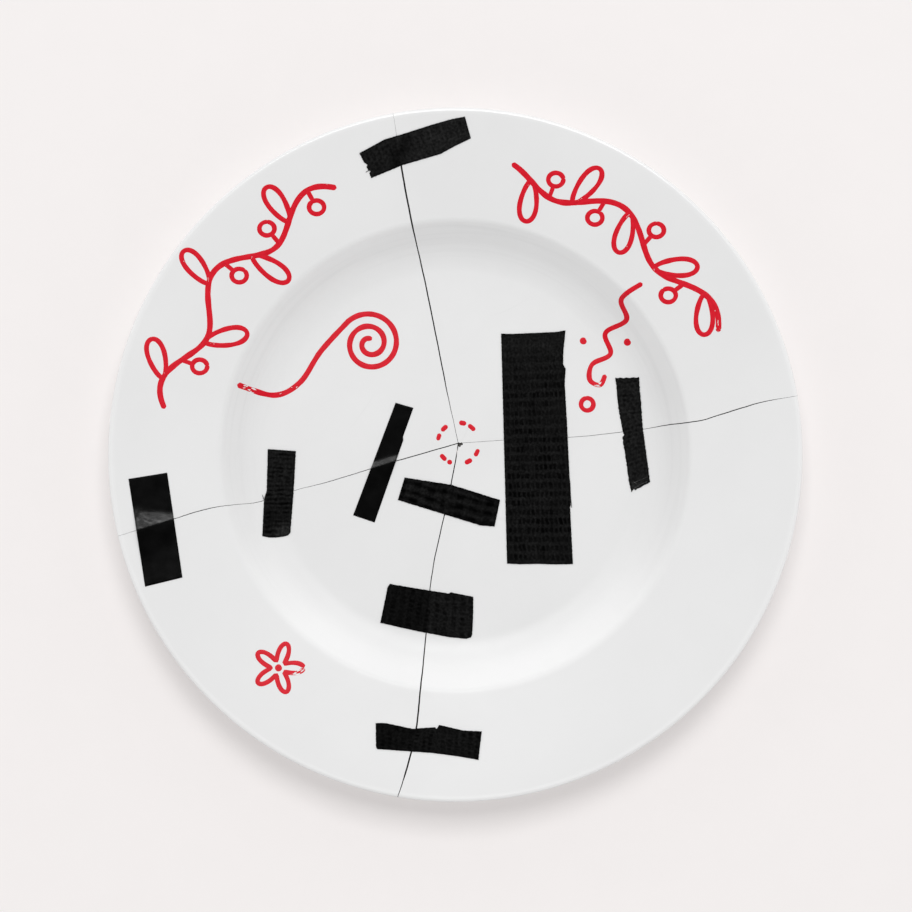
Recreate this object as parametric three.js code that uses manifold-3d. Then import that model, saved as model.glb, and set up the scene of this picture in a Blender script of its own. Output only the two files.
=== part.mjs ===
// A broken dinner plate: four shards of one turned porcelain plate, laid back together
// and held across their cracks by nine short strips of black tape.
// Millimetres, +Z up. The origin is on the table, under the middle of the foot ring.

import * as THREE from 'three';
import { mergeVertices } from 'three/addons/utils/BufferGeometryUtils.js';
import Module from 'manifold-3d';

// Plate
const PLATE_DIAMETER = 267;
const RIM_WIDTH = 43;
const RIM_RISE = 5;
const RIM_THICKNESS = 3.4;
const EDGE_THICKNESS = 2.6;
const EDGE_EASE = 4.5;
const SHOULDER_BLEND = 2;
const COVE_WIDTH = 20;
const COVE_SLOPE = 40.5;
const WELL_DEPTH = 11;
const FLOOR_THICKNESS = 4;
const UNDER_BLEND = 6;
const FOOT_HEIGHT = 3;
const FOOT_WIDTH = 3.6;
const FOOT_SETBACK = 1;
const FOOT_DRAFT = 1.6;
const FOOT_ROUND = 0.5;
const TURNED_SEGMENTS = 80;
const CURVE_STEPS = 3;

// Cracks. They run from one junction near the middle to the edge. Each is given by its
// bearings, in degrees from +X, where it crosses the same six circles of the plate.
const JUNCTION = new THREE.Vector2(1.2, 4.4);
const JUNCTION_GAP = 0.3;
const CRACK_OVERRUN = 6;
const CRACK_STEPS = 24;
const CHIP_RADIUS = 1.5;
const CHIP_SINK = 0.5;
const CHIP_SEGMENTS = 10;
const CRACKS = {
  top: { bearings: [97.2, 99.2, 100.0, 100.6, 100.6, 100.2], edgeGap: 0.65 },
  left: { bearings: [187.0, 192.0, 193.3, 192.3, 193.0, 193.5], edgeGap: 0.35 },
  bottom: { bearings: [259.7, 259.2, 260.9, 261.6, 261.8, 260.3], edgeGap: 0.62 },
  right: { bearings: [14.5, 8.4, 7.2, 8.1, 9.2, 9.8], edgeGap: 0.45 },
};

// Tape
const CLOTH_THICKNESS = 0.3;
const VINYL_THICKNESS = 0.2;
const TAPE_SEAT = 0.2;
const TAPE_STEP = 4.5;
const WIDE_TAPE_RADIUS = 31.9;
const WIDE_TAPE_WIDTH = 25;
const NARROW_TAPE_SHARE = 0.548;

// Sizes that follow from the ones above
const plateRadius = PLATE_DIAMETER / 2;
const shoulderRadius = plateRadius - RIM_WIDTH;
const floorRadius = shoulderRadius - COVE_WIDTH;
const floorTop = FOOT_HEIGHT + FLOOR_THICKNESS;
const shoulderTop = floorTop + WELL_DEPTH;
const edgeTop = shoulderTop + RIM_RISE;
const lipRadius = EDGE_THICKNESS / 2;
const lipCentre = plateRadius - lipRadius;
const coveTurn = THREE.MathUtils.degToRad(COVE_SLOPE);
const slopeRise = Math.tan(coveTurn);
const coveRadius = (COVE_WIDTH * slopeRise - WELL_DEPTH) / (1 / Math.cos(coveTurn) - 1);
const coveCentre = floorTop + coveRadius;
const slopeStart = floorRadius + coveRadius * Math.sin(coveTurn);
const wideTapeOuter = WIDE_TAPE_RADIUS + WIDE_TAPE_WIDTH / 2;
const narrowTapeRadius = wideTapeOuter + NARROW_TAPE_SHARE * (shoulderRadius - wideTapeOuter);

// Each strip bridges one crack, at a radius from the plate's middle. Its own middle lies
// `shift` along it from the crack, `turn` is its direction in degrees from +X, `wide` is its
// width at either end, and `bow` is how far its middle swings out sideways. The narrow strip
// lies between the wide one and the shoulder.
const cloth = { thickness: CLOTH_THICKNESS, colour: 0x181818, roughness: 0.7 };
const vinyl = { thickness: VINYL_THICKNESS, colour: 0x0d0d0e, roughness: 0.3 };
const TAPES = [
  {
    name: 'top_rim_tape', stuff: cloth, crack: 'top', radius: plateRadius - 15.5,
    shift: 7, turn: 20.3, long: 42, wide: [10.6, 8.8], bow: 0.6,
  },
  {
    name: 'left_rim_tape', stuff: vinyl, crack: 'left', radius: plateRadius - 15.3,
    shift: 1.5, turn: -81.4, long: 41.4, wide: [15, 14.8], bow: 0,
  },
  {
    name: 'left_well_tape', stuff: cloth, crack: 'left', radius: floorRadius - 0.7,
    shift: -1, turn: -93.6, long: 33, wide: [10.9, 10.8], bow: 0,
  },
  {
    name: 'slanted_tape', stuff: vinyl, crack: 'left', radius: 28.3,
    shift: -1.5, turn: -109.7, long: 46.6, wide: [7.2, 8.8], bow: 0,
  },
  {
    name: 'centre_tape', stuff: cloth, crack: 'bottom', radius: 18,
    shift: 0.6, turn: -14.3, long: 38.4, wide: [9.1, 10.5], bow: 0.8,
  },
  {
    name: 'wide_tape', stuff: cloth, crack: 'right', radius: WIDE_TAPE_RADIUS,
    shift: 3.8, turn: -88.3, long: 89.4, wide: [WIDE_TAPE_WIDTH, WIDE_TAPE_WIDTH], bow: 0,
  },
  {
    name: 'narrow_tape', stuff: cloth, crack: 'right', radius: narrowTapeRadius,
    shift: 0.2, turn: -82.9, long: 42.6, wide: [9.1, 8.1], bow: 0,
  },
  {
    name: 'lower_well_tape', stuff: cloth, crack: 'bottom', radius: floorRadius - 9.5,
    shift: 0.1, turn: -9, long: 34.4, wide: [15.4, 15.9], bow: 0,
  },
  {
    name: 'bottom_rim_tape', stuff: cloth, crack: 'bottom', radius: plateRadius - 22.9,
    shift: 5.4, turn: -5.3, long: 40.4, wide: [9.9, 11], bow: -0.6,
  },
];

const wasm = await Module();
wasm.setup();

function toSolid(geometry) {
  const bare = geometry.clone();
  bare.deleteAttribute('normal');
  bare.deleteAttribute('uv');
  const merged = mergeVertices(bare);
  return new wasm.Manifold(new wasm.Mesh({
    numProp: 3,
    vertProperties: new Float32Array(merged.getAttribute('position').array),
    triVerts: new Uint32Array(merged.getIndex().array),
  }));
}

function toGeometry(solid) {
  const mesh = solid.getMesh();
  const geometry = new THREE.BufferGeometry();
  geometry.setAttribute('position', new THREE.BufferAttribute(mesh.vertProperties, 3));
  geometry.setIndex(new THREE.BufferAttribute(mesh.triVerts, 1));
  geometry.computeVertexNormals();
  return geometry;
}

// Height of the glazed upper face at a radius: level floor, hollow cove, straight slope up to
// the shoulder, rising rim.
function glazeHeight(radius) {
  if (radius <= floorRadius) return floorTop;
  if (radius <= slopeStart) {
    return coveCentre - Math.sqrt(coveRadius ** 2 - (radius - floorRadius) ** 2);
  }
  if (radius <= shoulderRadius) return shoulderTop - (shoulderRadius - radius) * slopeRise;
  return shoulderTop + RIM_RISE * (radius - shoulderRadius) / (lipCentre - shoulderRadius);
}

// The way out of the glaze at a radius, as a radial and an upward share.
function glazeNormal(radius) {
  if (radius <= floorRadius) return new THREE.Vector2(0, 1);
  if (radius <= slopeStart) {
    const inward = floorRadius - radius;
    return new THREE.Vector2(inward, coveCentre - glazeHeight(radius)).normalize();
  }
  if (radius <= shoulderRadius) return new THREE.Vector2(-slopeRise, 1).normalize();
  return new THREE.Vector2(-RIM_RISE, lipCentre - shoulderRadius).normalize();
}

// The section of the plate, from the middle of its underside out to the edge and back over
// the top: foot ring, outer cove, under-rim, eased edge, rim, shoulder, slope, cove and floor.
function plateSection() {
  const footInner = floorRadius + FOOT_SETBACK;
  const footOuter = footInner + FOOT_WIDTH;
  const outerCove = coveRadius + RIM_THICKNESS;
  const footAngle = Math.asin((footOuter + FOOT_DRAFT - floorRadius) / outerCove);
  const underStart = shoulderRadius + UNDER_BLEND;
  const underRim = glazeHeight(underStart) - RIM_THICKNESS;
  const underSlope = floorRadius + outerCove * Math.sin(coveTurn);
  const underSlopeTop = coveCentre - outerCove * Math.cos(coveTurn);
  const underCorner = underSlope + (underRim - underSlopeTop) / slopeRise;
  const reach = underStart - underCorner;
  const easeStart = plateRadius - EDGE_EASE;
  const edgePeak = edgeTop + RIM_RISE * lipRadius / (lipCentre - shoulderRadius);
  const down = -Math.PI / 2;

  const section = new THREE.Path();
  section.moveTo(0, FOOT_HEIGHT);
  section.lineTo(footInner - FOOT_DRAFT, FOOT_HEIGHT);
  section.lineTo(footInner, FOOT_ROUND);
  section.lineTo(footInner + FOOT_ROUND, 0);
  section.lineTo(footOuter - FOOT_ROUND, 0);
  section.lineTo(footOuter, FOOT_ROUND);
  section.absarc(floorRadius, coveCentre, outerCove, down + footAngle, down + coveTurn, false);
  section.lineTo(
    underCorner - reach * Math.cos(coveTurn),
    underRim - reach * Math.sin(coveTurn),
  );
  section.quadraticCurveTo(underCorner, underRim, underStart, underRim);
  section.lineTo(lipCentre, edgeTop - EDGE_THICKNESS);
  section.absarc(lipCentre, edgeTop - lipRadius, lipRadius, down, 0, false);
  section.quadraticCurveTo(plateRadius, edgePeak, easeStart, glazeHeight(easeStart));
  section.lineTo(shoulderRadius + SHOULDER_BLEND, glazeHeight(shoulderRadius + SHOULDER_BLEND));
  section.quadraticCurveTo(
    shoulderRadius, shoulderTop,
    shoulderRadius - SHOULDER_BLEND, glazeHeight(shoulderRadius - SHOULDER_BLEND),
  );
  section.absarc(floorRadius, coveCentre, coveRadius, down + coveTurn, down, true);
  section.lineTo(0, floorTop);
  return section.getPoints(CURVE_STEPS);
}

function wholePlate() {
  const turned = new THREE.LatheGeometry(plateSection(), TURNED_SEGMENTS);
  return toSolid(turned.rotateX(Math.PI / 2));
}

function polar(radius, degrees) {
  const angle = THREE.MathUtils.degToRad(degrees);
  return new THREE.Vector2(radius * Math.cos(angle), radius * Math.sin(angle));
}

// The line of a crack in plan, from the junction to just past the edge.
function crackLine(crack) {
  const circles = [
    floorRadius / 3,
    floorRadius * 2 / 3,
    floorRadius,
    shoulderRadius,
    shoulderRadius + RIM_WIDTH / 2,
    plateRadius + CRACK_OVERRUN,
  ];
  const crossings = circles.map((radius, index) => polar(radius, crack.bearings[index]));
  return new THREE.SplineCurve([JUNCTION, ...crossings]);
}

// The gap left by a crack: an upright slot that opens a little towards the edge.
function crackSlot(crack) {
  const line = crackLine(crack);
  const leftSide = [];
  const rightSide = [];
  for (let step = 0; step <= CRACK_STEPS; step += 1) {
    const along = step / CRACK_STEPS;
    const half = THREE.MathUtils.lerp(JUNCTION_GAP, crack.edgeGap, along) / 2;
    const tangent = line.getTangent(along);
    const across = new THREE.Vector2(-tangent.y, tangent.x);
    const point = line.getPoint(along);
    if (step === 0) point.addScaledVector(tangent, -JUNCTION_GAP);
    leftSide.push(point.clone().addScaledVector(across, half));
    rightSide.unshift(point.clone().addScaledVector(across, -half));
  }
  const outline = new THREE.Shape([...leftSide, ...rightSide]);
  const depth = edgeTop + 2 * CRACK_OVERRUN;
  const slot = new THREE.ExtrudeGeometry(outline, { depth, bevelEnabled: false });
  return toSolid(slot.translate(0, 0, -CRACK_OVERRUN));
}

// The flake lost from the corner of the lower right shard, where the cracks meet.
function lostChip() {
  const flake = new THREE.SphereGeometry(CHIP_RADIUS, CHIP_SEGMENTS, CHIP_SEGMENTS);
  const aside = CHIP_RADIUS / 2;
  return toSolid(flake.translate(JUNCTION.x + aside, JUNCTION.y - aside, floorTop + CHIP_SINK));
}

// The four shards, in order of their bearing from the junction.
function breakPlate() {
  let plate = wholePlate();
  for (const crack of Object.values(CRACKS)) {
    plate = plate.subtract(crackSlot(crack));
  }
  const shards = plate.subtract(lostChip()).decompose();
  const bearing = (shard) => {
    const { min, max } = shard.boundingBox();
    const middleX = (min[0] + max[0]) / 2;
    const middleY = (min[1] + max[1]) / 2;
    return Math.atan2(middleY - JUNCTION.y, middleX - JUNCTION.x);
  };
  return shards.sort((one, other) => bearing(one) - bearing(other));
}

// The point of the crack at the wanted distance from the plate's middle.
function crackPoint(crack, radius) {
  const line = crackLine(crack);
  let near = 0;
  let far = 1;
  while (far - near > 1e-4) {
    const middle = (near + far) / 2;
    if (line.getPoint(middle).length() < radius) near = middle;
    else far = middle;
  }
  return line.getPoint(far);
}

// A strip of tape: a thin flat bar, pressed down so that it follows the glaze below it.
function tapeStrip(tape) {
  const { crack, radius, shift, turn, long, wide, bow } = tape;
  const direction = polar(1, turn);
  const across = new THREE.Vector2(-direction.y, direction.x);
  const middle = crackPoint(CRACKS[crack], radius).addScaledVector(direction, shift);
  const stepsLong = Math.ceil(long / TAPE_STEP);
  const stepsWide = Math.ceil(wide[0] / TAPE_STEP);
  const strip = new THREE.BoxGeometry(1, 1, 1, stepsLong, stepsWide, 1);
  const position = strip.getAttribute('position');
  for (let index = 0; index < position.count; index += 1) {
    const along = position.getX(index);
    const width = THREE.MathUtils.lerp(wide[0], wide[1], along + 0.5);
    const sideways = position.getY(index) * width + bow * (1 - 4 * along * along);
    const point = middle.clone().addScaledVector(direction, along * long);
    point.addScaledVector(across, sideways);
    const lift = TAPE_SEAT + tape.stuff.thickness * (position.getZ(index) + 0.5);
    const below = point.length();
    const out = glazeNormal(below).multiplyScalar(lift);
    point.setLength(below + out.x);
    position.setXYZ(index, point.x, point.y, glazeHeight(below) + out.y);
  }
  return strip;
}

function namedMesh(name, geometry, colour, roughness) {
  const material = new THREE.MeshStandardMaterial({ color: colour, roughness, metalness: 0 });
  const mesh = new THREE.Mesh(geometry, material);
  mesh.name = name;
  return mesh;
}

const PORCELAIN_COLOUR = 0xefeeec;
const PORCELAIN_ROUGHNESS = 0.15;
const SHARD_NAMES = [
  'lower_left_shard',
  'lower_right_shard',
  'upper_right_shard',
  'upper_left_shard',
];

const brokenPlate = new THREE.Group();
breakPlate().forEach((shard, index) => {
  const geometry = toGeometry(shard);
  brokenPlate.add(namedMesh(SHARD_NAMES[index], geometry, PORCELAIN_COLOUR, PORCELAIN_ROUGHNESS));
});
for (const tape of TAPES) {
  brokenPlate.add(namedMesh(tape.name, tapeStrip(tape), tape.stuff.colour, tape.stuff.roughness));
}

export default brokenPlate;
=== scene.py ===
import math

import bpy
import numpy as np
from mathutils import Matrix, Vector, noise
from mathutils.geometry import interpolate_bezier


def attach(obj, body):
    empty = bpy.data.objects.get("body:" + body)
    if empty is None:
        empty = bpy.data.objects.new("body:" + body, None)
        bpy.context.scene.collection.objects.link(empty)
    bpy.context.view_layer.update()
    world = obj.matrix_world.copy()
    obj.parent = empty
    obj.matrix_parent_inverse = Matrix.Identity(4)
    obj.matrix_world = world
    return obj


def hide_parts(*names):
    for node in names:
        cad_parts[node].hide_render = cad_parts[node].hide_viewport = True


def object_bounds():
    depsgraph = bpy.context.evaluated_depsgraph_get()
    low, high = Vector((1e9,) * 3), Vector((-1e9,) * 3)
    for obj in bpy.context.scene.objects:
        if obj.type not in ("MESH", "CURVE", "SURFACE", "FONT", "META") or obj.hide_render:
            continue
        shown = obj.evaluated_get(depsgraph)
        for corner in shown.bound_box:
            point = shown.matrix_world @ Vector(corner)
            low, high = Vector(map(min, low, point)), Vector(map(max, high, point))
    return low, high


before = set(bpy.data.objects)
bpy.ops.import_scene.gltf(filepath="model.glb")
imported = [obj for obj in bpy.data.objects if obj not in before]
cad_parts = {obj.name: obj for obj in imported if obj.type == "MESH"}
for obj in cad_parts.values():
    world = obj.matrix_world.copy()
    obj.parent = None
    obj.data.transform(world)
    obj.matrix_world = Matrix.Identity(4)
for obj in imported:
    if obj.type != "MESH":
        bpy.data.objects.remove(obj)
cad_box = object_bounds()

# The plate before it broke: one piece of white porcelain, turned on a wheel, with a level floor,
# a hollow cove and slope, a wide rim with an eased edge and a foot ring under the cove.
# Its section is drawn as one line of edges and spun round the upright axis.
MM = 0.001
PLATE_RADIUS = cad_box[1].x / MM
RIM_WIDTH = 43.0
RIM_RISE = 5.0
RIM_THICKNESS = 3.4
EDGE_THICKNESS = 2.6
EDGE_EASE = 1.6
SHOULDER_BLEND = 1.3
COVE_WIDTH = 20.0
COVE_SLOPE = math.radians(40.5)
WELL_DEPTH = 11.0
FLOOR_THICKNESS = 4.0
UNDER_BLEND = 6.0
FOOT_HEIGHT = 3.0
FOOT_WIDTH = 3.6
FOOT_SETBACK = 1.0
FOOT_DRAFT = 1.6
FOOT_ROUND = 0.5
TURNED_STEPS = 240
SEAM_WELD = 0.001

shoulder_radius = PLATE_RADIUS - RIM_WIDTH
floor_radius = shoulder_radius - COVE_WIDTH
floor_top = FOOT_HEIGHT + FLOOR_THICKNESS
shoulder_top = floor_top + WELL_DEPTH
edge_top = shoulder_top + RIM_RISE
lip_radius = EDGE_THICKNESS / 2
lip_centre = PLATE_RADIUS - lip_radius
slope_rise = math.tan(COVE_SLOPE)
cove_radius = (COVE_WIDTH * slope_rise - WELL_DEPTH) / (1 / math.cos(COVE_SLOPE) - 1)
cove_centre = floor_top + cove_radius
slope_start = floor_radius + cove_radius * math.sin(COVE_SLOPE)


def glaze_height(radius):
    """Height of the upper face at a radius, or at each of an array of them, in millimetres."""
    radius = np.asarray(radius, float)
    out = np.clip(radius, floor_radius, slope_start) - floor_radius
    cove = cove_centre - np.sqrt(cove_radius ** 2 - out ** 2)
    slope = slope_rise * (np.clip(radius, slope_start, shoulder_radius) - slope_start)
    rim = np.clip((radius - shoulder_radius) / (lip_centre - shoulder_radius), 0, 1)
    return cove + slope + RIM_RISE * rim


def arc(across, up, radius, start, end, steps):
    """Points on an arc of the section, its angles in radians from straight down."""
    angles = np.linspace(start, end, steps + 1)
    return [(across + radius * math.sin(a), up - radius * math.cos(a)) for a in angles]


def bend(first, corner, last, steps):
    """Points on a round corner of the section, with both of its ends."""
    first, corner, last = Vector(first), Vector(corner), Vector(last)
    shares = np.linspace(0, 1, steps + 1)
    return [tuple(first * (1 - t) ** 2 + corner * 2 * t * (1 - t) + last * t ** 2) for t in shares]


def on_glaze(radius):
    return radius, float(glaze_height(radius))


def edit_all():
    """Opens the active piece for editing, with all of it selected."""
    bpy.ops.object.mode_set(mode="EDIT")
    bpy.ops.mesh.select_all(action="SELECT")


foot_inner = floor_radius + FOOT_SETBACK
foot_outer = foot_inner + FOOT_WIDTH
outer_cove = cove_radius + RIM_THICKNESS
foot_angle = math.asin((foot_outer + FOOT_DRAFT - floor_radius) / outer_cove)
under_start = shoulder_radius + UNDER_BLEND
under_rim = on_glaze(under_start)[1] - RIM_THICKNESS
under_cove = arc(floor_radius, cove_centre, outer_cove, foot_angle, COVE_SLOPE, 14)
under_corner = under_cove[-1][0] + (under_rim - under_cove[-1][1]) / slope_rise
reach = under_start - under_corner
under_slope_end = (
    under_corner - reach * math.cos(COVE_SLOPE), under_rim - reach * math.sin(COVE_SLOPE)
)
lip_under = (lip_centre, edge_top - EDGE_THICKNESS)
lip = arc(lip_centre, edge_top - lip_radius, lip_radius, 0, math.pi / 2, 8)
edge_peak = edge_top + RIM_RISE * lip_radius / (lip_centre - shoulder_radius)
ease_end = on_glaze(PLATE_RADIUS - EDGE_EASE)
ease = bend(lip[-1], (PLATE_RADIUS, edge_peak), ease_end, 12)
rim_end = on_glaze(shoulder_radius + SHOULDER_BLEND)
slope_end = on_glaze(shoulder_radius - SHOULDER_BLEND)
upper_cove = arc(floor_radius, cove_centre, cove_radius, COVE_SLOPE, 0, 18)
foot_root = (foot_inner - FOOT_DRAFT, FOOT_HEIGHT)
foot_toe = (foot_outer, FOOT_ROUND)

section = [(r, FOOT_HEIGHT) for r in (0, 24, 48)]
section += bend((foot_root[0] - 2, FOOT_HEIGHT), foot_root, (foot_inner - 0.7, 1.6), 6)
section += bend((foot_inner, FOOT_ROUND), (foot_inner + 0.2, 0), (foot_inner + 0.7, 0), 5)
section += bend((foot_outer - 0.7, 0), (foot_outer - 0.1, 0), foot_toe, 5)
section += bend((foot_outer + 0.5, 1.8), (foot_outer + 1.2, 3.9), under_cove[1], 5)
section += under_cove[2:]
section += bend(under_slope_end, (under_corner, under_rim), (under_start, under_rim), 8)
section += [tuple(Vector(section[-1]).lerp(Vector(lip_under), t)) for t in (0.33, 0.67)]
section += lip
section += ease[1:]
section += [tuple(Vector(ease_end).lerp(Vector(rim_end), t)) for t in (0.25, 0.5, 0.75)]
section += bend(rim_end, (shoulder_radius, shoulder_top), slope_end, 10)
section += [tuple(Vector(slope_end).lerp(Vector(upper_cove[0]), 0.5))]
section += upper_cove
section += [(r, floor_top) for r in (52, 34, 16, 0)]

bpy.ops.object.select_all(action="DESELECT")
bpy.ops.mesh.primitive_plane_add(size=MM)
plate = bpy.context.object
plate.name = "plate"
edit_all()
bpy.ops.mesh.merge(type="CENTER")
bpy.ops.transform.translate(value=(section[0][0] * MM, 0, section[0][1] * MM))
for here, there in zip(section, section[1:]):
    step = ((there[0] - here[0]) * MM, 0, (there[1] - here[1]) * MM)
    bpy.ops.mesh.extrude_vertices_move(TRANSFORM_OT_translate={"value": step})
bpy.ops.mesh.select_all(action="SELECT")
bpy.ops.mesh.spin(steps=TURNED_STEPS, angle=2 * math.pi, center=(0, 0, 0), axis=(0, 0, 1))
bpy.ops.mesh.select_all(action="SELECT")
bpy.ops.mesh.remove_doubles(threshold=SEAM_WELD * MM)
bpy.ops.mesh.normals_make_consistent(inside=False)
bpy.ops.object.mode_set(mode="OBJECT")


# The glaze: clear and glossy over a white body, with soft waves and faint turning rings in it,
# a few pin specks, and the dull rubs that cutlery leaves on the floor of the well. Its soft
# clouds and its fine grain are two effects that the other materials take up as well. Its colour
# also holds painted light: the cove is painted lighter at its top and bottom, most on the near
# side, whose slope faces the soft box; the rings are painted darker on the far side of the cove,
# where it is in shade; and a painted highlight lightens the lip.
def grey(value):
    return value, value, value, 1


def short_ways(tree):
    """Two short ways: to add a node, its inputs set or joined, for its outputs, and to join."""

    def add(kind, inputs=(), **settings):
        node = tree.nodes.new(kind)
        for key, value in settings.items():
            setattr(node, key, value)
        for key, value in dict(inputs).items():
            if isinstance(value, bpy.types.NodeSocket):
                tree.links.new(value, node.inputs[key])
            else:
                node.inputs[key].default_value = value
        return node.outputs

    return add, tree.links.new


def ramp(add, value, start, end, low=0.0, high=1.0, kind="LINEAR"):
    """A value that goes from low to high while another goes from start to end."""
    stops = {"Value": value, "From Min": start, "From Max": end, "To Min": low, "To Max": high}
    return add("ShaderNodeMapRange", stops, interpolation_type=kind)["Result"]


def times(add, first, second):
    return add("ShaderNodeMath", {0: first, 1: second}, operation="MULTIPLY")[0]


def without_sign(add, value):
    return add("ShaderNodeMath", {0: value}, operation="ABSOLUTE")[0]


def blend(add, share, first, second, kind="MIX"):
    colours = {"Factor": share, "A": first, "B": second}
    return add("ShaderNodeMix", colours, data_type="RGBA", blend_type=kind)["Result"]


def new_group(name, inputs, outputs):
    """A shader node group with named sockets, and short ways to fill it."""
    group = bpy.data.node_groups.new(name, "ShaderNodeTree")
    for socket, kind in inputs.items():
        group.interface.new_socket(socket, in_out="INPUT", socket_type="NodeSocket" + kind)
    for socket, kind in outputs.items():
        group.interface.new_socket(socket, in_out="OUTPUT", socket_type="NodeSocket" + kind)
    add, join = short_ways(group)
    made = group.nodes.new("NodeGroupOutput").inputs
    return group, add("NodeGroupInput"), made, add, join


def new_material(name):
    """A material with its shader's inputs, and short ways to add nodes and to join them."""
    material = bpy.data.materials.new(name)
    material.use_nodes = True
    add, join = short_ways(material.node_tree)
    return material, material.node_tree.nodes["Principled BSDF"].inputs, add, join


mottle, given, made, add, join = new_group(
    "mottle",
    {
        "Place": "Vector", "Scale": "Float", "Detail": "Float", "Low": "Float", "High": "Float",
        "Dark": "Color", "Light": "Color",
    },
    {"Colour": "Color", "Value": "Float"},
)
spread = {"Vector": given["Place"], "Scale": given["Scale"], "Detail": given["Detail"]}
cloud = add("ShaderNodeTexNoise", spread)["Fac"]
share = ramp(add, cloud, given["Low"], given["High"])
join(blend(add, share, given["Dark"], given["Light"]), made["Colour"])
join(cloud, made["Value"])

grain, given, made, add, join = new_group(
    "grain",
    {
        "Place": "Vector", "Scale": "Float", "Detail": "Float", "Strength": "Float",
        "Distance": "Float",
    },
    {"Normal": "Vector"},
)
spread = {"Vector": given["Place"], "Scale": given["Scale"], "Detail": given["Detail"]}
bumps = add("ShaderNodeTexNoise", spread)["Fac"]
relief = {"Strength": given["Strength"], "Distance": given["Distance"], "Height": bumps}
join(add("ShaderNodeBump", relief)["Normal"], made["Normal"])

GLAZE_LIGHT = grey(0.820)
GLAZE_DARK = grey(0.802)
COVE_PAINTED_LIGHT = grey(1.12)
GLAZE_INDEX = 1.5
RING_PAINTED_SHADE = grey(0.962)
RING_STRETCH = (650, 1.1, 1)
HAIR_WIDTH = 0.0035
HAIR_DARK = 0.94
PIN_SIZE = 0.012
PIN_COLOUR = (0.45, 0.42, 0.39, 1)
RUB_ROUGHNESS = (0.28, 0.40)
LIP_START = 2.5
LIP_FULL = 1.3
LIP_PAINTED_HIGHLIGHT = (1.0, 1.07)
LIP_SHINE = (0.13, 0.45)
LIP_SMOOTH = (1.0, 0.55)
glaze, shader, add, join = new_material("white_glaze")
shader["IOR"].default_value = GLAZE_INDEX
place = add("ShaderNodeTexCoord")["Object"]
tint = add(
    "ShaderNodeGroup",
    {
        "Place": place, "Scale": 26, "Detail": 4, "Low": 0.35, "High": 0.65,
        "Dark": GLAZE_DARK, "Light": GLAZE_LIGHT,
    },
    node_tree=mottle,
)
flat = add("ShaderNodeVectorMath", {0: place, 1: (1, 1, 0)}, operation="MULTIPLY")[0]
from_middle = add("ShaderNodeVectorMath", {0: flat}, operation="LENGTH")["Value"]
axes = add("ShaderNodeSeparateXYZ", {"Vector": place})
bearing = add("ShaderNodeMath", {0: axes["Y"], 1: axes["X"]}, operation="ARCTAN2")[0]
turned = add("ShaderNodeCombineXYZ", {"X": from_middle, "Y": bearing})[0]
turned = add("ShaderNodeVectorMath", {0: turned, 1: RING_STRETCH}, operation="MULTIPLY")[0]
rings = add(
    "ShaderNodeGroup",
    {
        "Place": turned, "Scale": 1, "Detail": 3, "Low": 0.3, "High": 0.5,
        "Dark": RING_PAINTED_SHADE, "Light": grey(1),
    },
    node_tree=mottle,
)
in_cove = ramp(add, from_middle, 70 * MM, 86 * MM, kind="SMOOTHSTEP")
off_rim = ramp(add, from_middle, 93 * MM, 89 * MM, kind="SMOOTHSTEP")
cove_only = times(add, in_cove, off_rim)
# Painted light: the glaze colour is lifted in the cove above and below the middle, most on the near
# side, whose slope faces the soft box.
off_side = ramp(add, without_sign(add, axes["Y"]), 20 * MM, 75 * MM, kind="SMOOTHSTEP")
near_side_share = ramp(add, axes["Y"], -50 * MM, 50 * MM, 1.0, 0.4)
cove_light_share = times(add, times(add, cove_only, off_side), near_side_share)
cove_lit_tint = blend(add, cove_light_share, tint["Colour"], COVE_PAINTED_LIGHT, "MULTIPLY")
# The rings are turning marks and also a bump, but their darker colour is laid only on the far side
# of the cove, where it is in shade: painted shade.
streaks = times(add, cove_only, ramp(add, axes["Y"], -75 * MM, 30 * MM))
far_rings_shaded = blend(add, streaks, cove_lit_tint, rings["Colour"], "MULTIPLY")
hairs = {"Vector": place, "Scale": 9, "Detail": 1, "Distortion": 0.6}
hairs = add("ShaderNodeTexNoise", hairs)["Fac"]
from_hair = add("ShaderNodeMath", {0: hairs, 1: 0.5}, operation="SUBTRACT")[0]
hair = ramp(add, without_sign(add, from_hair), 0.0, HAIR_WIDTH, HAIR_DARK, 1.0)
hair_gaps = add("ShaderNodeTexNoise", {"Vector": place, "Scale": 21, "Detail": 2})["Fac"]
in_well = ramp(add, from_middle, 75 * MM, 60 * MM)
well_hairs = times(add, ramp(add, hair_gaps, 0.56, 0.70), in_well)
scored = blend(add, well_hairs, far_rings_shaded, hair, "MULTIPLY")
pins = add("ShaderNodeTexVoronoi", {"Vector": place, "Scale": 48})["Distance"]
pin = add("ShaderNodeMath", {0: pins, 1: PIN_SIZE}, operation="LESS_THAN")[0]
speckled = blend(add, pin, scored, PIN_COLOUR)
rubs = {"Vector": place, "Scale": 90, "Detail": 6, "Distortion": 1.2}
rubs = add("ShaderNodeTexNoise", rubs)["Fac"]
lip_reach = (PLATE_RADIUS - LIP_START) * MM, (PLATE_RADIUS - LIP_FULL) * MM
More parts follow.
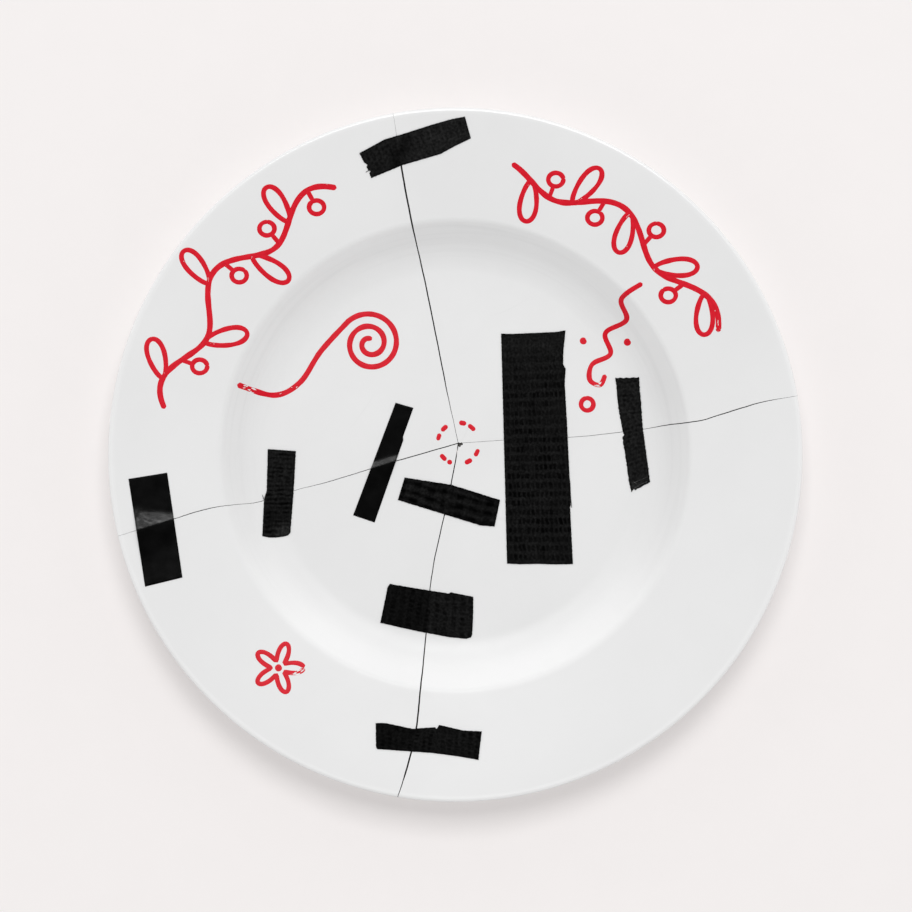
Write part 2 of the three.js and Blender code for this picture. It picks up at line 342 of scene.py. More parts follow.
# Painted highlight: the glaze colour is lightened on the lip, besides its stronger, smoother shine.
lip_painted_highlight = ramp(add, from_middle, *lip_reach, *LIP_PAINTED_HIGHLIGHT)
lip_shine = ramp(add, from_middle, *lip_reach, *LIP_SHINE)
lip_smooth = ramp(add, from_middle, *lip_reach, *LIP_SMOOTH)
rubbed = times(add, ramp(add, rubs, 0.4, 0.75, *RUB_ROUGHNESS), lip_smooth)
waves = add(
    "ShaderNodeGroup",
    {"Place": place, "Scale": 110, "Detail": 1, "Strength": 0.05, "Distance": 0.4 * MM},
    node_tree=grain,
)["Normal"]
ringed = {"Strength": 0.03, "Distance": 0.2 * MM, "Height": rings["Value"], "Normal": waves}
join(blend(add, 1.0, speckled, lip_painted_highlight, "MULTIPLY"), shader["Base Color"])
join(lip_shine, shader["Specular IOR Level"])
join(rubbed, shader["Roughness"])
join(add("ShaderNodeBump", ringed)["Normal"], shader["Normal"])


# The bare body shows on the foot ring, where the glaze was wiped off, and on the broken faces:
# dry, dense and slightly granular. The broken faces are coloured near black, as painted shade
# inside the narrow cracks.
def bare_body(name, dark, light, grain_scale):
    material, shader, add, join = new_material(name)
    shader["Roughness"].default_value = 0.8
    shader["Specular IOR Level"].default_value = 0.2
    place = add("ShaderNodeTexCoord")["Object"]
    stain = add(
        "ShaderNodeGroup",
        {
            "Place": place, "Scale": 160, "Detail": 5, "Low": 0.3, "High": 0.7,
            "Dark": dark, "Light": light,
        },
        node_tree=mottle,
    )
    sugar = add(
        "ShaderNodeGroup",
        {"Place": place, "Scale": grain_scale, "Detail": 4, "Strength": 0.5, "Distance": 0.15 * MM},
        node_tree=grain,
    )
    join(stain["Colour"], shader["Base Color"])
    join(sugar["Normal"], shader["Normal"])
    return material


WIPED_HEIGHT = 0.3
foot_bare = bare_body("bare_foot", (0.48, 0.46, 0.43, 1), (0.70, 0.68, 0.65, 1), 2500)
crack_wall_shade = bare_body("crack_wall_painted_shade", (0.018, 0.017, 0.016, 1), (0.070, 0.067, 0.064, 1), 1800)
chip_bare = bare_body("chipped_face", (0.03, 0.029, 0.027, 1), (0.20, 0.19, 0.18, 1), 1800)
plate.data.materials.append(glaze)
plate.data.materials.append(foot_bare)
for face in plate.data.polygons:
    if all(plate.data.vertices[v].co.z < WIPED_HEIGHT * MM for v in face.vertices):
        face.material_index = 1

# The four cracks. They run from one point near the middle to the edge, lean a little through
# the body, and stand open by a few tenths of a millimetre where the shards were pushed back.
# Each is cut by a thin blade bent along the crack, which leaves its bare face behind it.
JUNCTION = Vector((1.2, 4.4))
CRACK_OVERRUN = 6.0
CRACK_STEPS = 216
CRACK_ROWS = 14
CRACK_WANDER = 0.09
FACE_WANDER = 0.12
SURFACE_ROW = 0.25
JUNCTION_LEAN = np.array((-0.24, 0.18))
JUNCTION_REACH = 8.0
JUNCTION_LAP = 0.3
CRACKS = {
    "top": {
        "run": (
            (23.5, 97.2), (47.0, 99.2), (70.5, 100.0), (90.5, 100.6), (112.0, 100.6),
            (139.5, 100.2),
        ),
        "gaps": (
            (0, 0.16), (12, 0.16), (20, 0.24), (30, 0.44), (60, 0.50), (72, 0.50), (82, 0.42),
            (92, 0.64), (118, 0.68), (125, 0.10), (134, 0.05),
        ),
        "lean": 0.30,
        "joins": ("upper_left_shard", "upper_right_shard"),
    },
    "left": {
        "run": (
            (23.5, 186.4), (40.0, 190.8), (52.0, 192.2), (61.5, 192.45), (70.5, 193.2),
            (79.0, 193.5), (86.8, 192.8), (94.0, 192.36), (103.0, 192.5), (112.0, 192.9),
            (125.0, 193.35), (139.5, 193.7),
        ),
        "gaps": (
            (0, 0.36), (22, 0.36), (36, 0.25), (48, 0.23), (54, 0.20), (60, 0.13), (76, 0.22),
            (84, 0.14), (92, 0.20), (97, 0.27), (104, 0.30), (112, 0.22), (126, 0.14),
            (131, 0.10), (134, 0.05),
        ),
        "lean": -0.28,
        "joins": ("upper_left_shard", "lower_left_shard"),
    },
    "bottom": {
        "run": (
            (7.1, 263.5), (23.5, 259.7), (47.0, 258.9), (70.5, 260.75), (90.5, 261.5),
            (112.0, 261.75), (139.5, 260.1),
        ),
        "gaps": (
            (0, 0.40), (30, 0.38), (55, 0.35), (62, 0.40), (72, 0.44), (84, 0.46), (90, 0.56),
            (104, 0.62), (124, 0.62), (127, 0.36), (134, 0.26),
        ),
        "lean": 0.32,
        "joins": ("lower_left_shard", "lower_right_shard"),
    },
    "right": {
        "run": (
            (23.5, 14.5), (47.0, 8.4), (70.5, 7.7), (82.0, 7.95), (90.5, 7.88), (97.0, 8.0),
            (104.5, 8.71), (112.0, 9.28), (121.0, 9.74), (139.5, 9.75),
        ),
        "gaps": (
            (0, 0.12), (16, 0.12), (45, 0.14), (56, 0.18), (76, 0.18), (84, 0.34), (92, 0.36),
            (98, 0.32), (108, 0.38), (114, 0.36), (122, 0.26), (127, 0.14), (134, 0.06),
        ),
        "lean": 0.34,
        "joins": ("upper_right_shard", "lower_right_shard"),
    },
}


def polar(radius, degrees):
    angle = math.radians(degrees)
    return Vector((radius * math.cos(angle), radius * math.sin(angle)))


def lengths_along(points):
    steps = np.linalg.norm(np.diff(points, axis=0), axis=1)
    return np.concatenate([[0], np.cumsum(steps)])


def sideways(points):
    """The way across a line in plan at each of its points, to the left of its run."""
    run = np.gradient(points, axis=0)
    run /= np.linalg.norm(run, axis=1)[:, None]
    return np.stack([-run[:, 1], run[:, 0]], axis=1)


def smooth_line(knots, steps):
    """A smooth line in plan through the knots, with this many steps in each span."""
    knots = [Vector(k) for k in knots]
    ends = [knots[0]] + knots + [knots[-1]]
    line = []
    for before, here, there, after in zip(ends, ends[1:], ends[2:], ends[3:]):
        leave = here + (there - before) / 6
        arrive = there - (after - here) / 6
        line += interpolate_bezier(here, leave, arrive, there, steps + 1)[:-1]
    line.append(knots[-1])
    return np.array([tuple(p)[:2] for p in line])


def crack_line(run, seed):
    """The crack in plan, with the small jogs of a break, and the length run at each point."""
    crossings = [polar(radius, bearing) for radius, bearing in run]
    points = smooth_line([JUNCTION] + crossings, CRACK_STEPS // len(run))
    far = lengths_along(points)
    jog = np.array([
        noise.noise((d / 6.0, seed, 0)) + 0.5 * noise.noise((d / 1.7, seed, 5)) for d in far
    ])
    jog *= CRACK_WANDER * np.clip(far / JUNCTION_REACH, 0, 1)
    return points + sideways(points) * jog[:, None], far


def cut_away(body, tool):
    cut = body.modifiers.new("cut", "BOOLEAN")
    cut.operation = "DIFFERENCE"
    cut.solver = "EXACT"
    cut.material_mode = "TRANSFER"
    cut.object = tool
    bpy.context.view_layer.objects.active = body
    bpy.ops.object.modifier_apply(modifier=cut.name)
    bpy.data.objects.remove(tool)


blade_depths = np.linspace(edge_top + CRACK_OVERRUN, SURFACE_ROW, CRACK_ROWS)
blade_depths = [*blade_depths, -CRACK_OVERRUN]
crack_points = {}
for seed, (name, crack) in enumerate(CRACKS.items()):
    points, far = crack_line(crack["run"], seed * 3.7)
    crack_points[name] = points
    across = sideways(points)
    radius = np.linalg.norm(points, axis=1)
    gap = np.interp(radius, *zip(*crack["gaps"]))
    top = glaze_height(radius)
    points = points.copy()
    outward = points[1] - points[0]
    points[0] -= JUNCTION_LAP * outward / np.linalg.norm(outward)
    bpy.ops.object.select_all(action="DESELECT")
    bpy.ops.mesh.primitive_grid_add(x_subdivisions=len(points) - 1, y_subdivisions=1, size=1)
    blade = bpy.context.object
    blade.data.materials.append(crack_wall_shade)
    edit_all()
    for _ in range(CRACK_ROWS):
        rise = {"value": (0, 0, 1 / CRACK_ROWS)}
        bpy.ops.mesh.extrude_region_move(TRANSFORM_OT_translate=rise)
    bpy.ops.object.mode_set(mode="OBJECT")
    for vertex in blade.data.vertices:
        at = round((vertex.co.x + 0.5) * (len(points) - 1))
        depth = blade_depths[round(vertex.co.z * CRACK_ROWS)]
        height = top[at] - depth
        rough = noise.noise((far[at] / 3, height / 2, seed * 2.3))
        drift = crack["lean"] * depth + FACE_WANDER * rough
        own = min(1, far[at] / JUNCTION_REACH)
        drift *= own * min(1, max(0, depth))
        spot = points[at] + JUNCTION_LEAN * (1 - own) * max(0, depth)
        x, y = spot + across[at] * (math.copysign(gap[at] / 2, vertex.co.y) + drift)
        vertex.co = (x * MM, y * MM, height * MM)
    edit_all()
    bpy.ops.mesh.normals_make_consistent(inside=False)
    bpy.ops.object.mode_set(mode="OBJECT")
    cut_away(plate, blade)

# The flake that is lost from the corner of one shard, where the cracks meet. It left a small
# shell-shaped hollow in the glaze, and dirt has settled on the bare body in it.
FLAKE_RADIUS = 0.9
FLAKE_PLACE = JUNCTION + Vector((0.7, -0.3))
FLAKE_SINK = 0.2
FLAKE_ROUGHNESS = 0.6
bpy.ops.object.select_all(action="DESELECT")
bpy.ops.mesh.primitive_ico_sphere_add(
    subdivisions=3,
    radius=FLAKE_RADIUS * MM,
    location=(FLAKE_PLACE.x * MM, FLAKE_PLACE.y * MM, (floor_top + FLAKE_SINK) * MM),
)
flake = bpy.context.object
bpy.ops.object.transform_apply()
flake.data.materials.append(chip_bare)
for vertex in flake.data.vertices:
    vertex.co += vertex.normal * FLAKE_ROUGHNESS * MM * noise.noise(vertex.co / MM * 1.1)
cut_away(plate, flake)

# The four shards: each is one closed piece of the plate, glazed above and below and bare on
# its broken faces. They are pushed together as they lay before the break.
SHARD_WELD = 0.002
SHARD_CREASE = math.radians(32)


def pick(piece):
    """Selects this piece alone and makes it the active one."""
    bpy.ops.object.select_all(action="DESELECT")
    piece.select_set(True)
    bpy.context.view_layer.objects.active = piece


pick(plate)
edit_all()
bpy.ops.mesh.separate(type="LOOSE")
bpy.ops.object.mode_set(mode="OBJECT")
for shard in list(bpy.context.selected_objects):
    middle = sum((v.co for v in shard.data.vertices), Vector()) / len(shard.data.vertices)
    side = "right" if middle.x > JUNCTION.x * MM else "left"
    level = "upper" if middle.y > JUNCTION.y * MM else "lower"
    node = f"{level}_{side}_shard"
    shard.name = node + "_glazed"
    pick(shard)
    edit_all()
    bpy.ops.mesh.remove_doubles(threshold=SHARD_WELD * MM)
    bpy.ops.mesh.select_all(action="DESELECT")
    bpy.ops.mesh.select_mode(type="FACE")
    bpy.ops.mesh.select_face_by_sides(number=4, type="GREATER")
    bpy.ops.mesh.quads_convert_to_tris(quad_method="BEAUTY", ngon_method="BEAUTY")
    bpy.ops.mesh.select_all(action="SELECT")
    bpy.ops.mesh.dissolve_degenerate(threshold=SHARD_WELD * MM)
    bpy.ops.object.mode_set(mode="OBJECT")
    bpy.ops.object.shade_smooth_by_angle(angle=SHARD_CREASE)
    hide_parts(node)
    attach(shard, "root")

# Black cloth tape: a woven scrim under a thin black film, torn and cut from the roll by hand
# and pressed down over the cracks. The film sinks between the threads of the scrim, so each
# strip has rows of small pits, and its ends and edges are uneven where it was torn.
CLOTH_THICKNESS = 0.26
CLOTH_HOLLOW = 0.04
CLOTH_GRID = 0.3
TAPE_SEAT = 0.02
TAPE_CREASE = math.radians(50)
LEAST_SHEET = 10.0
PIT_DEPTH = 0.09
SCRIM_STAGGER = 0.3
STRAIGHT_END = ((0, 0), (1, 0))
TEAR_REACH = 4
TEAR_ROUGHNESS = 0.12
SIDE_FRAY = 0.12
HEM_WIDTH = 0.9
RIDGE_WIDTH = 0.75
FOLD_PITCH = 3.3
FILM_DARK = 0.0002
FILM_GAIN = 0.0068


def along_edge(edge, shares):
    """Points at these shares of the length of an edge, which is a list of corners."""
    edge = np.array(edge, float)
    far = lengths_along(edge)
    at = shares * far[-1]
    return np.stack([np.interp(at, far, edge[:, 0]), np.interp(at, far, edge[:, 1])], axis=1)


def noise_at(points, scale, seed):
    return np.array([noise.noise((x * scale, y * scale, seed)) for x, y in points])


def smooth_step(low, high, value):
    share = np.clip((value - low) / (high - low), 0, 1)
    return share * share * (3 - 2 * share)


def lay_flat_strip(name, first_edge, second_edge, grid):
    """A flat grid between two edges, with its place along and across the strip in millimetres."""
    a, b, c, d = np.array([first_edge[0], first_edge[-1], second_edge[0], second_edge[-1]], float)
    length = (np.linalg.norm(b - a) + np.linalg.norm(d - c)) / 2
    width = (np.linalg.norm(c - a) + np.linalg.norm(d - b)) / 2
    bpy.ops.object.select_all(action="DESELECT")
    bpy.ops.mesh.primitive_grid_add(
        x_subdivisions=round(length / grid), y_subdivisions=round(width / grid), size=1
    )
    strip = bpy.context.object
    strip.name = name
    flat = np.array([v.co for v in strip.data.vertices])
    u, v = flat[:, 0] + 0.5, flat[:, 1] + 0.5
    start = along_edge(first_edge, u)
    plan = start + (along_edge(second_edge, u) - start) * v[:, None]
    return strip, plan, u * length, v * width, length, width


def crack_distance(plan, crack):
    """Distance of each point in plan from a crack, positive to the left of its outward run."""
    line = crack_points[crack]
    across = sideways(line)
    nearest = np.argmin(((plan[:, None, :] - line[None, ::3, :]) ** 2).sum(2), axis=1) * 3
    return ((plan - line[nearest]) * across[nearest]).sum(1)


def keep_values(strip, name, values):
    """Stores one value for each point of a strip, for its material."""
    store = strip.data.attributes.new(name, "FLOAT", "POINT")
    store.data.foreach_set("value", np.asarray(values, np.float32))


def press_down(strip, plan, lift, u, v, thickness):
    """Lays the strip on the glaze, its upper face `lift` above it, and gives it thickness."""
    height = glaze_height(np.hypot(plan[:, 0], plan[:, 1])) + lift
    strip.data.vertices.foreach_set("co", (np.column_stack([plan, height]) * MM).ravel())
    corners = np.zeros(len(strip.data.loops), np.int32)
    strip.data.loops.foreach_get("vertex_index", corners)
    pattern = (np.column_stack([u, v]) * MM)[corners]
    strip.data.uv_layers.active.data.foreach_set("uv", pattern.ravel())
    strip.data.update()
    body = strip.modifiers.new("body", "SOLIDIFY")
    body.thickness = thickness * MM
    body.offset = 1 if strip.data.polygons[0].normal.z < 0 else -1
    pick(strip)
    bpy.ops.object.modifier_apply(modifier=body.name)
    bpy.ops.object.shade_smooth_by_angle(angle=TAPE_CREASE)


def declare_strip(strip, node, crack, length, width):
    """Hides the strip's node and hangs the strip on the root; the flat size that it was cut to is
    worked out but not used.
    """
    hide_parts(node)
    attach(strip, "root")
    cut = (max(width, LEAST_SHEET) * MM, length * MM)


cloth, shader, add, join = new_material("black_cloth_tape")
shader["Specular IOR Level"].default_value = 0.012
shader["Roughness"].default_value = 0.55
film = add("ShaderNodeAttribute", attribute_name="film")["Fac"]
strip_place = add("ShaderNodeUVMap")["UV"]
lint = add(
    "ShaderNodeGroup",
    {
        "Place": strip_place, "Scale": 1100, "Detail": 4, "Low": 0.3, "High": 0.7,
        "Dark": grey(0.36), "Light": grey(1.75),
    },
    node_tree=mottle,
)
weave = [
    add(
        "ShaderNodeTexWave",
        {"Vector": strip_place, "Scale": 785, "Distortion": 1.5, "Detail": 2},
        wave_type="BANDS",
        bands_direction=direction,
    )["Fac"]
    for direction in ("X", "Y")
]
raised = {"Strength": 0.35, "Distance": 0.05 * MM, "Height": times(add, *weave)}
join(times(add, film, lint["Colour"]), shader["Base Color"])
join(add("ShaderNodeBump", raised)["Normal"], shader["Normal"])

THREAD_RADIUS = 0.11
yarn, shader, add, join = new_material("loose_thread")
shader["Roughness"].default_value = 0.9
shader["Specular IOR Level"].default_value = 0.1
place = add("ShaderNodeTexCoord")["Object"]
twist = add(
    "ShaderNodeGroup",
    {
        "Place": place, "Scale": 1500, "Detail": 3, "Low": 0.35, "High": 0.7,
        "Dark": grey(0.006), "Light": grey(0.130),
    },
    node_tree=mottle,
)
join(twist["Colour"], shader["Base Color"])


def loose_threads(node, strands):
    """Threads that have come away from the scrim, each a thin strand along points x, y, lift."""
    path = bpy.data.curves.new(node + "_threads", "CURVE")
    path.dimensions = "3D"
    path.bevel_depth = THREAD_RADIUS * MM
    path.bevel_resolution = 2
    path.use_fill_caps = True
    for strand in strands:
        plan = smooth_line([p[:2] for p in strand], 6)
        knots = np.linspace(0, len(strand) - 1, len(plan))
        lift = np.interp(knots, range(len(strand)), [p[2] for p in strand])
        height = glaze_height(np.hypot(plan[:, 0], plan[:, 1])) + lift
        line = path.splines.new("POLY")
        line.points.add(len(plan) - 1)
        for point, (x, y), z in zip(line.points, plan, height):
            point.co = (x * MM, y * MM, z * MM, 1)
    threads = bpy.data.objects.new(path.name, path)
    bpy.context.scene.collection.objects.link(threads)
    pick(threads)
    bpy.ops.object.convert(target="MESH")
    bpy.ops.object.shade_smooth()
    threads.data.materials.clear()
    threads.data.materials.append(yarn)
    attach(threads, "root")
    return threads


CLOTH_STRIPS = {
    "top_rim_tape": {
        "first": (
            (-36.9, 115.9), (-27.1, 121.2), (-20.0, 123.3), (-9.0, 126.8), (-1.2, 129.0),
            (3.7, 129.9),
        ),
        "second": (
            (-32.3, 106.4), (-23.5, 110.0), (-20.8, 111.2), (-5.7, 115.6), (-0.4, 118.5),
            (6.0, 121.6),
        ),
        "near_end": (
            (0, 0), (0.38, 0.1), (0.5, 0.9), (0.55, 0.2), (0.7, 0.25), (0.76, 1.0), (0.8, 0.1),
            (1, 0),
        ),
        "crack": "top", "ridge": 0.10, "fold": 0.05,
        "pitch": (2.2, 1.8), "open": (0.3, 0.2), "pits": 0.45,
        "tone": 1.45, "sides": (0.85, 1.1), "mottle": 0.5,
        "marks": ((-21, 117, 3.2, -0.6), (-22, 112, 3.0, -0.6), (-19, 121, 2.5, -0.5)),
        "threads": (((-32.6, 109.4, 0.4), (-33.6, 109.1, 0.3), (-34.4, 108.6, 0.15)),),
    },
    "left_well_tape": {
        "first": ((-72.5, 2.2), (-72.9, -14.0), (-73.9, -17.1), (-74.5, -31.4)),
        "second": ((-61.6, 1.4), (-62.5, -14.0), (-63.8, -31.0)),
        "far_end": ((0, 0), (0.25, 0.7), (0.5, 0.8), (0.8, 0.5), (0.93, 0.1), (1, -0.9)),
        "crack": "left", "ridge": 0.05, "fold": 0.0,
        "pitch": (1.73, 3.4), "open": (0.25, -0.3), "pits": 1.0,
        "tone": 1.2, "sides": (1.0, 1.0), "mottle": 1.1,
        "marks": ((-66, -30, 3.6, 1.2), (-71, -23, 4.0, -0.5)),
        "threads": (((-73.4, -18.0, 0.35), (-74.1, -17.0, 0.25), (-74.5, -15.5, 0.2)),),
    },
    "centre_tape": {
        "first": ((-19.6, -8.8), (-1.6, -11.6), (17.3, -17.5)),
        "second": ((-22.2, -17.5), (-4.3, -23.0), (9.5, -27.3), (15.2, -27.8)),
        "crack": "bottom", "ridge": 0.16, "fold": 0.14,
        "pitch": (5.8, 2.9), "open": (0.2, 0.2), "pits": 0.6,
        "tone": 1.15, "sides": (0.9, 1.1), "mottle": 0.9,
    },
    "wide_tape": {
        "first": ((17.7, 46.8), (20.0, -42.1)),
        "second": (
            (42.6, 47.8), (41.8, 40.0), (41.7, 34.9), (42.7, 33.2), (42.3, 27.8), (43.2, 12.4),
            (43.8, -0.7), (44.2, -8.0), (44.7, -19.3), (44.4, -20.3), (45.5, -42.3),
        ),
        "near_end": ((0, 0), (0.15, 0.25), (0.85, 0.2), (1, -0.3)),
        "far_end": ((0, 0), (0.2, 0.2), (0.5, 0), (0.7, 0.2), (1, 0)),
        "crack": "right", "ridge": 0.04, "fold": 0.0,
        "pitch": (3.48, 1.77), "open": (0.10, 0.16), "stagger": 0.1, "pits": 1.05,
        "tone": 0.96, "sides": (1.0, 1.0), "mottle": 0.3,
        "marks": ((24, 44, 12.0, 0.1), (38, 46, 10.0, 0.1)),
        "threads": (
            ((43.9, -7.4, 0.3), (44.4, -11.0, 0.2), (44.6, -15.5, 0.15), (45.0, -20.4, 0.14)),
        ),
    },
    "narrow_tape": {
        "first": (
            (61.9, 29.8), (63.1, 18.0), (64.5, 10.0), (65.2, 7.4), (64.6, 6.6), (65.3, 2.2),
            (66.3, -4.2), (67.1, -10.4), (68.1, -14.4),
        ),
        "second": ((71.0, 30.0), (72.5, 10.1), (75.3, -10.6)),
        "near_end": (
            (0, 0), (0.1, 0.25), (0.2, 0), (0.33, 0.3), (0.45, 0), (0.6, 0.3), (0.75, 0),
            (0.9, 0.3), (1, 0),
        ),
        "far_end": (
            (0, 0.1), (0.14, -0.7), (0.22, 0.3), (0.3, -0.1), (0.5, 0.1), (0.7, -0.1),
            (0.85, 0.1), (1, 0),
        ),
        "crack": "right", "ridge": 0.05, "fold": 0.06, "fray": 0.28,
        "pitch": (1.75, 2.6), "open": (0.3, 0.2), "pits": 0.75,
        "tone": 1.36, "sides": (1.0, 1.0), "mottle": 0.8,
        "marks": ((71, -12, 3.0, 0.5), (69.5, -14, 1.5, 0.6)),
        "threads": (
            ((68.4, -11.0, 0.35), (71.0, -10.0, 0.4), (74.2, -8.6, 0.35)),
            ((69.2, -13.0, 0.35), (71.6, -11.5, 0.4), (74.2, -10.4, 0.35)),
            ((68.8, -10.2, 0.4), (70.2, -11.6, 0.42), (70.8, -12.8, 0.35)),
        ),
    },
    "lower_well_tape": {
        "first": ((-25.9, -49.9), (-10.0, -52.5), (-2.4, -53.7), (-1.9, -53.2), (7.0, -54.9)),
        "second": ((-29.0, -65.0), (-15.2, -68.1), (-1.9, -70.6), (4.6, -71.2), (6.5, -70.8)),
        "near_end": ((0, 0.7), (0.08, 0), (1, 0)),
        "far_end": ((0, 0), (0.5, 0.15), (0.93, 0), (1, -0.5)),
        "crack": "bottom", "ridge": 0.06, "fold": 0.03,
        "pitch": (3.4, 1.8), "open": (0.25, 0.1), "pits": 0.8,
        "tone": 0.86, "sides": (1.15, 0.6), "mottle": 1.0,
    },
    "bottom_rim_tape": {
        "first": (
            (-30.6, -103.2), (-26.8, -103.2), (-16.5, -105.4), (-7.7, -104.8), (-7.2, -105.5),
            (-6.2, -103.9), (3.1, -106.1), (10.2, -106.4),
        ),
        "second": ((-30.5, -113.1), (-18.3, -114.0), (-8.6, -114.7), (0.7, -115.9), (8.9, -117.3)),
        "near_end": ((0, 0), (0.9, 0), (1, 0.4)),
        "crack": "bottom", "ridge": 0.08, "fold": 0.05,
        "pitch": (2.6, 1.8), "open": (0.25, 0.1), "pits": 0.95,
        "tone": 0.70, "sides": (1.1, 0.7), "mottle": 0.9,
    },
}

for seed, (node, cut) in enumerate(CLOTH_STRIPS.items()):
    strip, plan, u, v, length, width = lay_flat_strip(
        node + "_cloth", cut["first"], cut["second"], CLOTH_GRID
    )
    heading = np.array(cut["first"][-1]) - np.array(cut["first"][0])
    heading = heading / np.linalg.norm(heading)
    beside = np.array([-heading[1], heading[0]])
    ragged = np.array([noise.noise((y * 2.7, seed * 7.1, 0)) for y in v]) * TEAR_ROUGHNESS
    near_pull = np.interp(v / width, *zip(*cut.get("near_end", STRAIGHT_END))) + ragged
    far_pull = np.interp(v / width, *zip(*cut.get("far_end", STRAIGHT_END))) + ragged
    pull = near_pull * smooth_step(TEAR_REACH, 0, u)
    pull += far_pull * smooth_step(length - TEAR_REACH, length, u)
    fray = np.array([
        noise.noise((x * 1.3, seed * 5.3 + (y > width / 2), 9)) for x, y in zip(u, v)
    ])
    fray *= np.abs(smooth_step(width - 1, width, v) - smooth_step(1, 0, v))
    plan = plan + heading * pull[:, None]
    plan += beside * (cut.get("fray", SIDE_FRAY) * fray)[:, None]
    marked, smooth = np.ones(len(plan)), np.ones(len(plan))
    for x, y, reach, gain in cut.get("marks", ()):
        spot = np.exp(-((plan[:, 0] - x) ** 2 + (plan[:, 1] - y) ** 2) / reach ** 2)
        marked *= 1 + gain * spot
        smooth *= 1 - 0.75 * spot * (gain > 0)
    waver = 0.5 * noise_at(plan, 0.35, 13.0) + 0.22 * noise_at(plan, 1.0, 21.0)
    row_at = (u + waver) / cut["pitch"][0]
    column_at = (v + waver) / cut["pitch"][1]
    column_at += np.sin(np.rint(row_at) * 2.4) * cut.get("stagger", SCRIM_STAGGER)
    cells = np.column_stack([np.rint(row_at), np.rint(column_at)])
    rows = 0.5 + 0.5 * np.cos(2 * math.pi * row_at)
    columns = 0.5 + 0.5 * np.cos(2 * math.pi * column_at)
    rows = smooth_step(cut["open"][0], cut["open"][0] + 0.5, rows)
    columns = smooth_step(cut["open"][1], cut["open"][1] + 0.3, columns)
    uneven = np.clip(0.8 + 0.9 * noise_at(cells, 0.73, seed + 0.4), 0.35, 1)
    patchy = 0.85 + 0.5 * noise_at(plan, 0.09, 2.0) + cut["mottle"] * noise_at(plan, 0.45, 4.0)
    pits = rows * (0.2 + 0.8 * columns * uneven) * np.clip(patchy, 0.1, 1) * cut["pits"] * smooth
    from_edge = np.minimum(np.minimum(u, length - u), np.minimum(v, width - v))
    hem = smooth_step(0, HEM_WIDTH, from_edge)
    pits *= hem
    crossing = crack_distance(plan, cut["crack"])
    over_crack = np.exp(-(crossing / RIDGE_WIDTH) ** 2)
    swerve = 1.4 * np.sin(u / 8 + seed) + 2 * noise_at(plan, 0.1, 7.0)
    folds = 0.5 + 0.5 * np.sin(2 * math.pi * v / FOLD_PITCH + swerve)
    folds *= smooth_step(-0.25, 0.25, noise_at(plan, 0.06, seed * 1.7) + 0.15)
    lift = TAPE_SEAT + CLOTH_THICKNESS - PIT_DEPTH * pits - 0.03 * (1 - hem)
    lift += cut["ridge"] * over_crack + cut["fold"] * folds * hem
    # The film's colour holds painted light: a painted highlight along the ridge over the crack on
    # strips with a high ridge, and painted shade in the troughs of the folds on strips with deep
    # folds.
    bright = 1 - 0.97 * pits
    bright += 0.5 * over_crack * (cut["ridge"] > 0.09) - 0.7 * (1 - folds) * (cut["fold"] > 0.1)
    streaks = np.column_stack([v * 1.5, u * 0.07])
    bright += 0.45 * np.clip(noise_at(streaks, 1, seed + 3.3), 0, 1)
    bright *= 1 + 0.35 * noise_at(plan, 0.25, 11.0)
    bright *= marked * np.where(crossing > 0, *cut["sides"])
    bright *= 0.45 + 0.55 * smooth_step(0, 0.7, from_edge)
    keep_values(strip, "film", FILM_DARK + FILM_GAIN * cut["tone"] * np.clip(bright, 0, 2))
    strip.data.materials.append(cloth)
    press_down(strip, plan, lift, u, v, CLOTH_THICKNESS - PIT_DEPTH - CLOTH_HOLLOW)
    extras = [loose_threads(node, cut["threads"])] if "threads" in cut else []
    declare_strip(strip, node, cut["crack"], length, width)

# Black vinyl tape: smooth, stretchy and glossy, cut square with scissors. Over the crack it
# has buckled into a low crease, whose long upper flank catches the light.
VINYL_THICKNESS = 0.18
VINYL_STRETCH = 0.05
VINYL_GRID = 0.3
vinyl, shader, add, join = new_material("black_vinyl_tape")
shader["Specular IOR Level"].default_value = 0.28
place = add("ShaderNodeTexCoord")["Object"]
smears = add(
    "ShaderNodeGroup",
    {
        "Place": place, "Scale": 220, "Detail": 5, "Low": 0.3, "High": 0.7,
        "Dark": grey(0.0014), "Light": grey(0.0026),
    },
    node_tree=mottle,
)
stretch = add(
    "ShaderNodeGroup",
    {"Place": place, "Scale": 900, "Detail": 2, "Strength": 0.12, "Distance": 0.05 * MM},
    node_tree=grain,
)
join(smears["Colour"], shader["Base Color"])
join(ramp(add, smears["Value"], 0.0, 1.0, 0.11, 0.18), shader["Roughness"])
join(stretch["Normal"], shader["Normal"])

